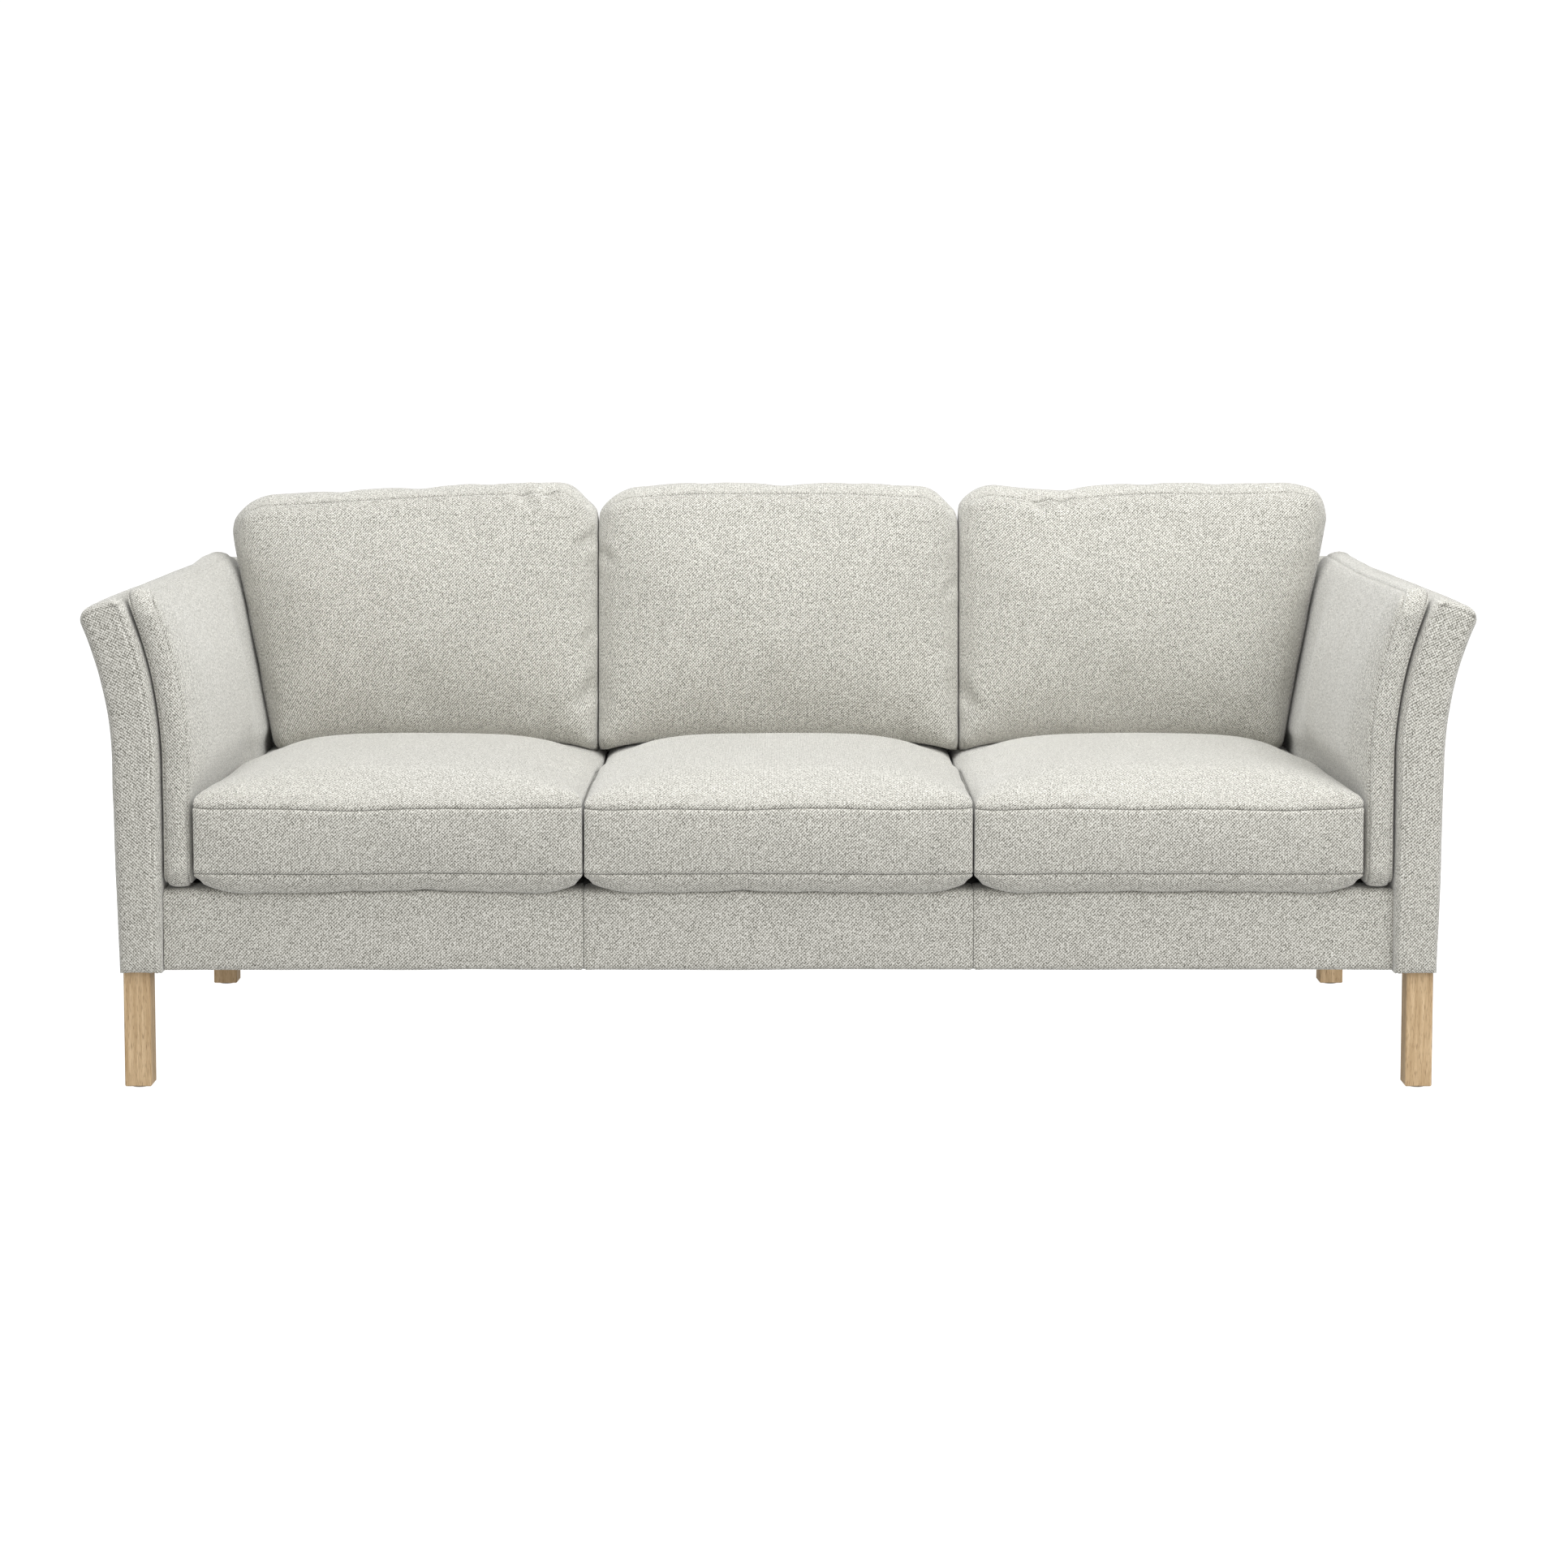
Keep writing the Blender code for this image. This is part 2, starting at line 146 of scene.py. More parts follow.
def cubic_weights(knots, shares):
    """A matrix that interpolates values at evenly spaced knots to the given shares by a Catmull-Rom curve."""
    last = len(knots) - 1
    weights = np.zeros((len(shares), last + 1))
    for row, share in enumerate(shares):
        at = min(share * last, last - 1e-9)
        i, f = int(at), at - int(at)
        four = (
            (-f + 2 * f * f - f**3) / 2,
            (2 - 5 * f * f + 3 * f**3) / 2,
            (f + 4 * f * f - 3 * f**3) / 2,
            (f**3 - f * f) / 2,
        )
        for offset, weight in zip((-1, 0, 1, 2), four):
            k = i + offset
            if k < 0:  # a made-up knot before the first: twice the first, less the second
                weights[row, 0] += 2 * weight
                weights[row, 1] -= weight
            elif k > last:
                weights[row, last] += 2 * weight
                weights[row, last - 1] -= weight
            else:
                weights[row, k] += weight
    return weights


def even(count):
    return np.linspace(0, 1, count + 1)


def rows(length, step, marks=(0.0,), close=(0.0015, 0.004, 0.008)):
    """Shares along a side of that length: close rows beside its ends and beside each mark (a distance from the
    start, or from the end if it is negative), and even steps between."""
    offsets = [-d for d in reversed(close)] + [0.0] + list(close)
    places = {0.0, length}
    for mark in [0.0, length] + [m if m > 0 else length + m for m in marks if m]:
        places.update(mark + d for d in offsets if 0 <= mark + d <= length)
    ordered = sorted(places)
    shares = []
    for start, end in zip(ordered, ordered[1:]):
        if end - start < 1e-4:
            continue
        count = max(1, round((end - start) / step))
        shares += list(np.linspace(start, end, count, endpoint=False))
    return np.array(shares + [length]) / length


def mesh_object(name, places, quads):
    mesh = bpy.data.meshes.new(name)
    mesh.from_pydata([tuple(p) for p in places], [], [tuple(int(i) for i in q) for q in quads])
    mesh.update()
    obj = bpy.data.objects.new(name, mesh)
    bpy.context.scene.collection.objects.link(obj)
    return obj


def normals_of(places, quads):
    """The unit normal at each point of a mesh of quads."""
    a, b, c, d = (places[quads[:, i]] for i in range(4))
    face = np.cross(c - a, d - b)
    total = np.zeros_like(places)
    for i in range(4):
        np.add.at(total, quads[:, i], face)
    return total / np.maximum(np.linalg.norm(total, axis=1, keepdims=True), 1e-12)


def weave_map(obj, lattice, quads, sizes):
    """A UV map in metres. Each side of the lattice is one flat panel of cloth."""
    layer = obj.data.uv_layers.new(name=UV_NAME)
    flat = {}
    for number, (_, _, _, across) in enumerate(LATTICE_SIDES):
        a, b = sorted(across)
        u, v = lattice.points[:, a] * sizes[a], lattice.points[:, b] * sizes[b]
        shift = 0.37 * number  # so that neighbouring panels don't share one pattern
        flat[number] = np.stack([u + shift, v + shift], axis=1)
    uvs = np.concatenate([flat[s][q] for q, s in zip(quads, lattice.sides)])
    layer.uv.foreach_set("vector", uvs.astype(np.float32).ravel())


def set_seams(obj, distance):
    """Stores how close each point is to a seam, for the painted shade along the seams in the cloth's material.
    """
    closeness = np.clip(1 - distance / SEAM_REACH, 0, 1)
    attribute = obj.data.attributes.new(SEAM_NAME, "FLOAT", "POINT")
    attribute.data.foreach_set("value", closeness.astype(np.float32))


# ---------------------------------------------------------------- materials


class Shader:
    """A material's node tree, built by short calls that return sockets."""

    def __init__(self, name):
        self.material = bpy.data.materials.new(name)
        self.material.use_nodes = True
        self.tree = self.material.node_tree
        self.tree.nodes.clear()
        self.surface = self.tree.nodes.new("ShaderNodeBsdfPrincipled")
        output = self.tree.nodes.new("ShaderNodeOutputMaterial")
        self.tree.links.new(self.surface.outputs[0], output.inputs[0])

    def put(self, socket, value):
        if isinstance(value, bpy.types.NodeSocket):
            self.tree.links.new(value, socket)
        else:
            socket.default_value = value

    def node(self, kind, inputs=(), output=0, **settings):
        made = self.tree.nodes.new("ShaderNode" + kind)
        for key, value in settings.items():
            setattr(made, key, value)
        for key, value in dict(inputs).items():
            self.put(made.inputs[key], value)
        return made.outputs[output]

    def math(self, operation, a, b=0.0, c=0.0):
        return self.node("Math", {0: a, 1: b, 2: c}, operation=operation)

    def vector(self, operation, a, b=(0, 0, 0)):
        return self.node("VectorMath", {0: a, 1: b}, operation=operation)

    def scaled(self, vector, factor):
        return self.node("VectorMath", {0: vector, "Scale": factor}, operation="SCALE")

    def parts(self, vector):
        made = self.tree.nodes.new("ShaderNodeSeparateXYZ")
        self.put(made.inputs[0], vector)
        return made.outputs

    def joined(self, x, y, z=0.0):
        return self.node("CombineXYZ", {0: x, 1: y, 2: z})

    def noise(self, vector, scale, detail=2.0, roughness=0.5, colour=False, **settings):
        inputs = {"Vector": vector, "Scale": scale, "Detail": detail, "Roughness": roughness}
        return self.node("TexNoise", inputs, output=1 if colour else 0, **settings)

    def ramp(self, value, stops):
        made = self.tree.nodes.new("ShaderNodeValToRGB")
        self.put(made.inputs[0], value)
        elements = made.color_ramp.elements
        while len(elements) < len(stops):
            elements.new(0.5)
        for element, (position, colour) in zip(elements, stops):
            element.position = position
            element.color = (*colour, 1)
        return made.outputs[0]

    def mixed(self, factor, a, b, blend="MIX"):
        made = self.tree.nodes.new("ShaderNodeMix")
        made.data_type, made.blend_type = "RGBA", blend
        self.put(made.inputs[0], factor)
        for socket, value in ((made.inputs[6], a), (made.inputs[7], b)):
            self.put(socket, value if isinstance(value, bpy.types.NodeSocket) else (*value, 1))
        return made.outputs[2]

    def mapped(self, value, low, high, to_low=0.0, to_high=1.0):
        return self.node("MapRange", {0: value, 1: low, 2: high, 3: to_low, 4: to_high})

    def bump(self, height, distance, strength=1.0):
        self.put(
            self.surface.inputs["Normal"],
            self.node("Bump", {"Height": height, "Distance": distance, "Strength": strength}),
        )

    def finish(self, **inputs):
        for name, value in inputs.items():
            self.put(self.surface.inputs[name.replace("_", " ").title().replace("Ior", "IOR")], value)
        return self.material


def grey(level):
    return (level, level, level)


def upholstery_material():
    """Thick off-white and grey yarns woven in a broken twill: diagonal ribs that turn back here and there,
    over upright threads, with dark flecks and thin sewn seams, which get painted shade in their grooves."""
    repeat = 0.00487  # of the weave, along the warp and along the weft
    stitch_length = 0.0045
    s = Shader("upholstery")
    flat = s.node("UVMap", uv_map=UV_NAME)
    waver = s.vector("SUBTRACT", s.noise(flat, 130, 2, colour=True, noise_dimensions="2D"), grey(0.5))
    u, v, _ = s.parts(s.vector("ADD", flat, s.scaled(waver, 0.0020)))
    u, v = s.math("DIVIDE", u, repeat), s.math("DIVIDE", v, repeat)
    rising, falling = s.math("SUBTRACT", u, v), s.math("ADD", u, v)

    def ridges(number):
        return s.math("COSINE", s.math("MULTIPLY", number, 2 * math.pi))

    cell = s.joined(s.math("ROUND", rising), s.math("ROUND", falling))
    chance = s.node("TexWhiteNoise", {"Vector": cell}, noise_dimensions="2D")
    patches = s.noise(flat, 260, 1, noise_dimensions="2D")
    turning = s.mapped(patches, 0.45, 0.62)  # 0 where the ribs rise to the right, 1 where they fall
    rib = s.math("MULTIPLY", ridges(rising), s.math("SUBTRACT", 1.0, s.math("MULTIPLY", turning, 0.75)))
    rib = s.math("ADD", rib, s.math("MULTIPLY", ridges(falling), s.math("MULTIPLY", turning, 0.9)))
    upright = ridges(s.math("MULTIPLY", u, 2.0))
    height = s.math("ADD", s.math("MULTIPLY", rib, 0.205), s.math("MULTIPLY", upright, 0.165))
    off_rising, off_falling = (s.math("SUBTRACT", 1.0, ridges(number)) for number in (rising, falling))
    gap = s.math("MULTIPLY", off_rising, off_falling)
    height = s.math("SUBTRACT", s.math("ADD", height, 0.545), s.math("MULTIPLY", gap, 0.060))
    fibres = s.noise(flat, 1500, 2, noise_dimensions="2D")
    fleck = s.noise(flat, 330, 3, 0.65, noise_dimensions="2D")
    value = s.math("ADD", height, s.math("MULTIPLY", s.math("SUBTRACT", chance, 0.5), FLECKS[0]))
    value = s.math("ADD", value, s.math("MULTIPLY", s.math("SUBTRACT", fleck, 0.5), FLECKS[1]))
    value = s.math("ADD", value, s.math("MULTIPLY", s.math("SUBTRACT", fibres, 0.5), 0.25))
    toned = s.ramp(value, YARN_TONES)
    blotches = s.mapped(s.noise(flat, 9, 3, noise_dimensions="2D"), 0.3, 0.7, 0.985, 1.015)
    toned = s.mixed(1.0, toned, s.joined(blotches, blotches, blotches), "MULTIPLY")
    # painted shade: a thin dark band in each seam's groove, darker at each stitch's dimple
    seam = s.node("Attribute", output=2, attribute_name=SEAM_NAME)
    stitch = s.math("SINE", s.math("MULTIPLY", falling, 2 * math.pi * repeat / stitch_length))
    seam_shade = s.mapped(seam, 0.82, 0.93)
    seam_shade = s.math("MULTIPLY", seam_shade, s.mapped(stitch, -1, 1, 0.60, 0.95))
    coloured = s.mixed(seam_shade, toned, (0.10, 0.097, 0.085))
    s.bump(s.math("ADD", height, s.math("MULTIPLY", fibres, 0.35)), 0.0006, 0.7)
    return s.finish(base_color=coloured, roughness=0.92, sheen_weight=0.5, sheen_roughness=0.45)


def wood_material(name, light, dark, pores, roughness, figure=1.0):
    """Straight-grained timber: growth bands and fine dark pores that run upright in every part."""
    s = Shader(name)
    place = s.node("TexCoord", output=3)
    x, y, z = s.parts(place)
    slow = s.math("MULTIPLY", z, 0.055)
    swirls = s.noise(s.joined(x, y, s.math("MULTIPLY", z, 0.5)), 9, 3, colour=True)
    wander = s.vector("SUBTRACT", swirls, grey(0.5))
    stretched = s.vector("ADD", s.joined(x, y, slow), s.scaled(wander, 0.006 * figure))
    bands = s.noise(stretched, 170, 3, 0.55)
    fine = s.noise(s.joined(x, y, s.math("MULTIPLY", z, 0.03)), 900, 2, 0.6)
    dots = s.noise(s.joined(x, y, s.math("MULTIPLY", z, 0.07)), 1000, 1, 0.5)
    pore = s.mapped(dots, 0.56, 0.68)
    tone = s.mixed(s.mapped(bands, 0.32, 0.68), light, dark)
    tone = s.mixed(s.mapped(fine, 0.40, 0.65, 0.0, 0.55), tone, dark)
    blotch = s.noise(s.joined(x, y, s.math("MULTIPLY", z, 0.4)), 14, 2)
    tone = s.mixed(s.mapped(blotch, 0.35, 0.7, 0.0, 0.25), tone, tuple(c * 1.12 for c in light))
    tone = s.mixed(s.math("MULTIPLY", pore, 0.6), tone, pores)
    s.bump(s.math("SUBTRACT", s.math("MULTIPLY", fine, 0.5), pore), 0.00025, 0.5)
    return s.finish(base_color=tone, roughness=s.mapped(bands, 0.3, 0.7, roughness, roughness + 0.12))


def foam_material():
    """Open-celled foam, with painted shade in its pits."""
    s = Shader("foam")
    place = s.node("TexCoord", output=3)
    cells = s.node("TexVoronoi", {"Vector": place, "Scale": 700.0})
    cloud = s.noise(place, 12, 3)
    # painted shade: the colour darkens where the bump sinks into each cell's pit
    tone = s.mixed(s.mapped(cells, 0.1, 0.7), (0.66, 0.60, 0.42), (0.86, 0.81, 0.63))
    tone = s.mixed(s.mapped(cloud, 0.35, 0.7, 0.0, 0.2), tone, (0.76, 0.68, 0.45))
    s.bump(cells, 0.0005, 0.7)
    return s.finish(base_color=tone, roughness=0.95)


def felt_material(name, base, fleck):
    """Pressed or spun-bonded cloth: short fibres lying every way."""
    s = Shader(name)
    place = s.node("TexCoord", output=3)
    fibres = s.noise(place, 1900, 4, 0.7)
    dimples = s.node("TexVoronoi", {"Vector": place, "Scale": 420.0})
    tone = s.mixed(s.mapped(fibres, 0.4, 0.72), base, fleck)
    s.bump(s.math("ADD", fibres, s.math("MULTIPLY", dimples, 0.5)), 0.0004, 0.8)
    return s.finish(base_color=tone, roughness=0.95, sheen_weight=0.2)


def steel_material(name, tone, roughness):
    """Drawn steel with faint lines along it and a thin film of oil."""
    s = Shader(name)
    place = s.node("TexCoord", output=3)
    x, y, z = s.parts(place)
    lines = s.noise(s.joined(x, s.math("MULTIPLY", y, 0.3), z), 1800, 3, 0.6)
    film = s.noise(place, 60, 3)
    colour = s.mixed(s.mapped(film, 0.35, 0.7, 0.0, 0.45), tone, tuple(c * 0.72 for c in tone))
    s.bump(lines, 0.00006, 0.6)
    rough = s.mapped(s.math("ADD", lines, film), 0.6, 1.4, roughness - 0.08, roughness + 0.14)
    return s.finish(base_color=colour, roughness=rough, metallic=1.0)


def board_material():
    """Grey-brown pressed board with pulp flecks."""
    s = Shader("lining_board")
    place = s.node("TexCoord", output=3)
    pulp = s.noise(place, 800, 4, 0.7)
    tone = s.mixed(s.mapped(pulp, 0.35, 0.7), (0.30, 0.22, 0.14), (0.50, 0.39, 0.27))
    s.bump(pulp, 0.0002, 0.6)
    return s.finish(base_color=tone, roughness=0.9)


# ---------------------------------------------------------------- stage


def make_stage():
    """A wide pale floor, soft light from above, the front right and the front, and the camera."""
    bpy.ops.mesh.primitive_plane_add(size=60)
    floor = bpy.context.object
    floor.name = "floor"
    s = Shader("floor")
    mottled = s.mapped(s.noise(s.node("TexCoord", output=3), 3, 2), 0.3, 0.7, 0.30, 0.32)
    tone = s.joined(mottled, mottled, mottled)
    glow = s.mapped(s.node("LightPath"), 0, 1, 0.32, 0.97)  # the floor reads as paper white
    floor.data.materials.append(
        s.finish(base_color=tone, roughness=0.8, emission_color=(1, 1, 1, 1), emission_strength=glow)
    )

    scene = bpy.context.scene
    scene.view_settings.view_transform = "Standard"
    world = bpy.data.worlds.new("studio")
    world.use_nodes = True
    tree = world.node_tree
    sky = tree.nodes["Background"]
    seen = tree.nodes.new("ShaderNodeLightPath")
    colour = tree.nodes.new("ShaderNodeMix")  # lit softly by it, but seen as paper white
    colour.data_type = "RGBA"
    colour.inputs[6].default_value = (*(c * SKY_STRENGTH for c in (1.0, 0.99, 0.955)), 1)
    colour.inputs[7].default_value = (1.05, 1.05, 1.05, 1)
    tree.links.new(seen.outputs[0], colour.inputs[0])
    tree.links.new(colour.outputs[2], sky.inputs["Color"])
    scene.world = world

    def soft_light(name, place, aim, width, height, watts, colour=(1, 1, 1)):
        data = bpy.data.lights.new(name, "AREA")
        data.shape, data.size, data.size_y = "RECTANGLE", width, height
        data.energy, data.color = watts, colour
        light = bpy.data.objects.new(name, data)
        light.location = place
        light.rotation_euler = (Vector(aim) - Vector(place)).to_track_quat("-Z", "Y").to_euler()
        scene.collection.objects.link(light)

    soft_light("top_light", (0.2, -0.6, 3.2), (0, 0, 0.4), 4.0, 3.0, TOP_WATTS, (0.975, 0.985, 1.0))
    soft_light("key_light", (2.7, -3.4, 3.1), (0, 0, 0.5), 2.5, 2.0, KEY_WATTS)
    soft_light("front_light", (-0.6, -6.0, 0.9), (0, 0, 0.4), 4.0, 1.4, FRONT_WATTS)

    data = bpy.data.cameras.new("camera")
    data.lens = CAMERA_LENS
    data.shift_x, data.shift_y = CAMERA_SHIFT
    camera = bpy.data.objects.new("camera", data)
    camera.location = CAMERA_PLACE
    camera.rotation_euler = (math.radians(90 - CAMERA_TILT), 0, 0)
    scene.collection.objects.link(camera)
    scene.camera = camera


# ---------------------------------------------------------------- the frame's faces


def flare(z, start, radius):
    """How far a face that curves outwards above start has moved at height z."""
    rise = np.maximum(0.0, z - start)
    return radius - np.sqrt(radius * radius - rise * rise)


def arm_face_x(z):
    """How far out the arms' inner faces are at height z."""
    return ARM_INNER_X + flare(z, *ARM_INNER_CURVE)


def back_face_y(z):
    """How far back the front of the upholstered back is at height z."""
    return BACK_FACE[0] + BACK_LEAN * (z - BACK_FACE[1])


def back_end_x(z):
    """How far out the row of back cushions ends at height z."""
    seat_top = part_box("seat_cushion_centre_cover")[1].z
    return OUTER_BACK_EDGE_X + OUTER_BACK_SLOPE * (np.minimum(z, OUTER_BACK_TOP) - seat_top)


# ---------------------------------------------------------------- soft shapes


def rounded(a, b, half_a, half_b, radii):
    """Moves points of a rectangle centred on 0 so that its corners get the given radii: low a low b, high a
    low b, high a high b, low a high b."""
    a, b = a.copy(), b.copy()
    for (sign_a, sign_b), r in zip(((-1, -1), (1, -1), (1, 1), (-1, 1)), radii):
        over_a, over_b = sign_a * a - (half_a - r), sign_b * b - (half_b - r)
        near = (over_a > 0) & (over_b > 0)
        p, q = over_a[near] / r, over_b[near] / r
        a[near] = sign_a * (half_a - r + r * p * np.sqrt(1 - q * q / 2))
        b[near] = sign_b * (half_b - r + r * q * np.sqrt(1 - p * p / 2))
    return a, b


def pillow_box(points, sizes, cap_axis, corner_radii, edge_radius):
    """A box centred on 0, from shares of its sizes. Its two panels face along cap_axis and have the given
    corner radii. The edges between the panels and the boxing are rounded to edge_radius."""
    half = np.asarray(sizes) / 2
    places = (points * 2 - 1) * half
    across = [axis for axis in range(3) if axis != cap_axis]
    from_side = half - np.abs(places)
    depth = np.minimum(from_side[:, across[0]], from_side[:, across[1]])  # in from the panel's outline
    below = from_side[:, cap_axis]  # below the panel
    reach = max(max(corner_radii), edge_radius)
    inwards = np.maximum(reach - from_side[:, across], 0) * -np.sign(places[:, across])
    inwards /= np.maximum(np.linalg.norm(inwards, axis=1, keepdims=True), 1e-9)
    a, b = rounded(*(places[:, axis] for axis in across), half[across[0]], half[across[1]], corner_radii)
    r = edge_radius
    near = (depth < r) & (below < r)
    span = np.hypot(r - depth, r - below)
    shift = np.where(near, r - r * (r - depth) / span - depth, 0)
    drop = np.where(near, r - r * (r - below) / span - below, 0)
    places[:, across[0]] = a + shift * inwards[:, 0]
    places[:, across[1]] = b + shift * inwards[:, 1]
    places[:, cap_axis] -= np.sign(places[:, cap_axis]) * drop
    return places


def inflated(lattice, places, held, pressure=4.0, slack=0.02, frames=20):
    """The points after a cloth simulation in which air pressure swells the closed skin. The foam's edges hold
    the seams: held is how firmly, from 0 to 1, for each point."""
    obj = mesh_object("inflating", places, lattice.quads)
    group = obj.vertex_groups.new(name="held")
    for number in np.flatnonzero(held):
        group.add([int(number)], float(held[number]), "REPLACE")
    modifier = obj.modifiers.new("cloth", "CLOTH")
    cloth = modifier.settings
    cloth.vertex_group_mass = group.name
    cloth.pin_stiffness = 1.0
    cloth.quality = 6
    cloth.use_pressure = True
    cloth.uniform_pressure_force = pressure
    cloth.shrink_min = -slack
    cloth.tension_stiffness = cloth.compression_stiffness = 20
    cloth.bending_stiffness = 0.3
    cloth.effector_weights.gravity = 0
    modifier.point_cache.frame_end = frames
    scene = bpy.context.scene
    for number in range(1, frames + 1):
        scene.frame_set(number)
    swollen = obj.evaluated_get(bpy.context.evaluated_depsgraph_get())
    found = np.zeros(len(places) * 3)
    swollen.data.vertices.foreach_get("co", found)
    scene.frame_set(1)
    mesh = obj.data
    bpy.data.objects.remove(obj)
    bpy.data.meshes.remove(mesh)
    return found.reshape(-1, 3)


def swollen(lattice, places, cap, from_seam):
    """The simulated swelling, scaled so that no point moves further than cap. The seams are where
    from_seam, the distance from them, is about 0."""
    held = np.where(from_seam < 0.008, 0.85, 0.0)
    moved = inflated(lattice, places, held) - places
    moved = relaxed(moved - moved.mean(axis=0), lattice.quads)
    return places + moved * (cap / np.linalg.norm(moved, axis=1).max())


def relaxed(values, quads, times=3):
    """Values at the points of a mesh, each drawn half way to its neighbours' mean a few times over."""
    a, b = quads.ravel(), np.roll(quads, -1, axis=1).ravel()
    count = np.bincount(a, minlength=len(values)) + np.bincount(b, minlength=len(values))
    for _ in range(times):
        total = np.zeros_like(values)
        np.add.at(total, a, values[b])
        np.add.at(total, b, values[a])
        values = (values + total / count[:, None]) / 2
    return values


def crown_of(lattice, power=2.2):
    """0 along the box's edges and 1 in the middle of each side."""
    bulge = 1 - np.abs(2 * lattice.points - 1) ** power
    on_end = (lattice.points < 1e-9) | (lattice.points > 1 - 1e-9)
    return np.where(on_end, 1, bulge).prod(axis=1) * (on_end.sum(axis=1) == 1)


def pressed_below(values, limit, soft):
    """Values kept under a limit (a number, or one for each), flattening towards it over the last stretch."""
    start = limit - soft
    over = np.maximum(values - start, 0)
    return np.where(values > start, start + soft * (1 - np.exp(-over / soft)), values)


def pressed_above(values, limit, soft):
    return -pressed_below(-values, -np.asarray(limit, float), soft)


def smooth_step(values, low, high):
    share = np.clip((values - low) / (high - low), 0, 1)
    return share * share * (3 - 2 * share)


def seam_distance(lattice, sizes, cap_axis, seams):
    """How far each point is from the two seams between the panels that face along cap_axis and the boxing.
    seams says how far each lies from its panel, down the boxing: at the low end, and at the high end. Each is a
    number, or a function of the lattice's points."""
    edge = np.minimum(lattice.points, 1 - lattice.points) * np.asarray(sizes)
    along = lattice.points[:, cap_axis] * sizes[cap_axis]
    across = [axis for axis in range(3) if axis != cap_axis]
    on_panel = edge[:, cap_axis] < 1e-9
    on_boxing = edge[:, across].min(axis=1) < 1e-9
    nearest = np.full(len(along), np.inf)
    seams = [seam(lattice.points) if callable(seam) else seam for seam in seams]
    for offset, from_panel in ((seams[0], along), (seams[1], sizes[cap_axis] - along)):
        beside = np.where(on_boxing, np.abs(from_panel - offset), np.inf)
        over = np.where(on_panel & (from_panel < 1e-9), edge[:, across].min(axis=1) + offset, np.inf)
        nearest = np.minimum(nearest, np.minimum(beside, over))
    return nearest


def sewn(places, quads, distance, depth=0.0022, lip=0.0007):
    """Draws the cloth in along its seams, with a small lip on each side."""
    groove = depth * np.exp(-((distance / 0.0022) ** 2))
    ridge = lip * np.exp(-(((distance - 0.006) / 0.004) ** 2))
    return places + normals_of(places, quads) * (ridge - groove)[:, None]


def rippled(places, quads, amount, scale, seed):
    """Slow undulations of the surface, along its normals."""
    shift = Vector((seed * 7.3, seed * 3.1, seed * 5.7))
    heights = [noise.noise(Vector(place * scale) + shift) for place in places]
    return places + normals_of(places, quads) * (np.array(heights) * amount)[:, None]


def creased(places, quads, creases):
    """Presses creases into a cushion's front. Each is (start, end, width, depth), and fades out at its ends."""
    normals = normals_of(places, quads)
    flat = places[:, (0, 2)]
    for start, end, width, depth in creases:
        start, run = np.array(start), np.array(end) - start
        share = np.clip((flat - start) @ run / (run @ run), 0, 1)
        away = np.linalg.norm(flat - start - share[:, None] * run, axis=1)
        fade = np.sin(math.pi * np.clip(share, 0.02, 0.98)) ** 0.7 * smooth_step(-places[:, 1], 0.0, 0.03)
        profile = np.exp(-((away / width) ** 2)) - 0.45 * np.exp(-(((away - 1.9 * width) / width) ** 2))
        places = places - normals * (depth * fade * profile)[:, None]
    return places


def facing_out(places, quads):
    """The quads of a skin, turned round if they face in, as on a mirrored piece."""
    a, b, c, d = (places[quads[:, i]] for i in range(4))
    middle = places.mean(axis=0)
    volume = (np.cross(c - a, d - b) * ((a + b + c + d) / 4 - middle)).sum()
    return quads if volume > 0 else quads[:, ::-1]


def sewn_object(name, body, nodes, lattice, places, sizes, distance, material):
    """A piece made on a lattice, with its cloth map and seams, that rides on its body in place of CAD nodes."""
    outwards = facing_out(places, lattice.quads)
    obj = mesh_object(name, places, outwards)
    weave_map(obj, lattice, outwards, sizes)
    set_seams(obj, distance)
    obj.data.materials.append(material)
    obj.data.shade_smooth()
    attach(obj, body)
    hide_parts(*nodes)
    return obj


